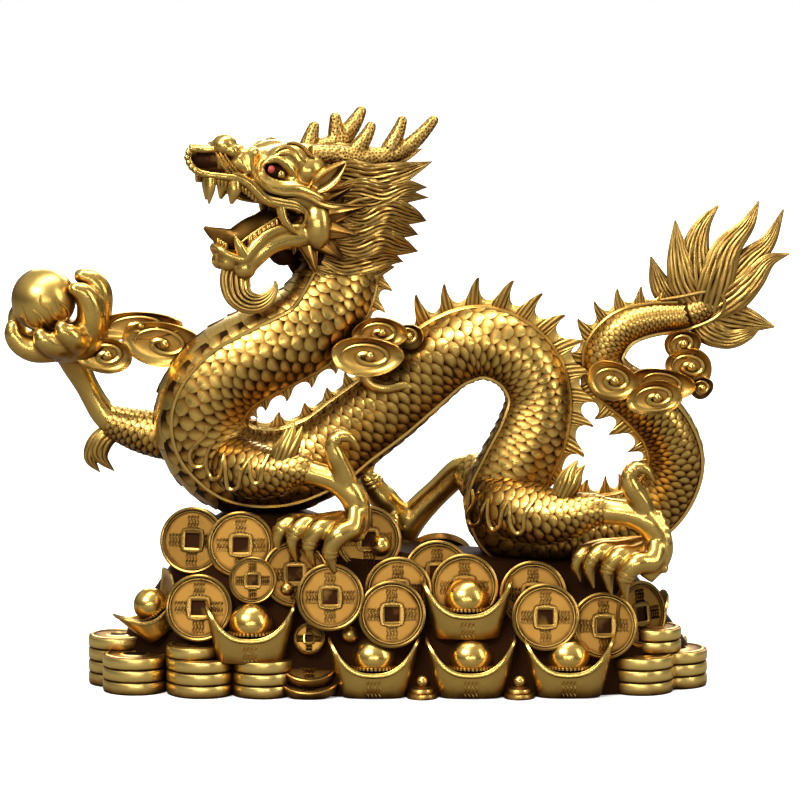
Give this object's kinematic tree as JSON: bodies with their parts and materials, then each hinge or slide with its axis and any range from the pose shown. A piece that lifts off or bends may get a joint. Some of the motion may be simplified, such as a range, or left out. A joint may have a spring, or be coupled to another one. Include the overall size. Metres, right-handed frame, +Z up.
{
  "type": "dragon sculpture",
  "caption": "Cast brass dragon on a heap of coins and ingots, its raised front claw holding a ball, on one flat underside.",
  "frame": {"origin": "middle of the figure's box, on the flat underside that it stands on", "axes": "+X from the head to the tail, +Y from the front to the back, +Z up"},
  "size_m": [0.3906, 0.1168, 0.2871],
  "materials": {
    "antique_brass": "satin golden brass with dark brown patina in the hollows",
    "polished_brass": "polished golden brass"
  },
  "bodies": {
    "root": {"dragon_on_treasure": "antique_brass", "pearl": "polished_brass"}
  },
  "joints": []
}
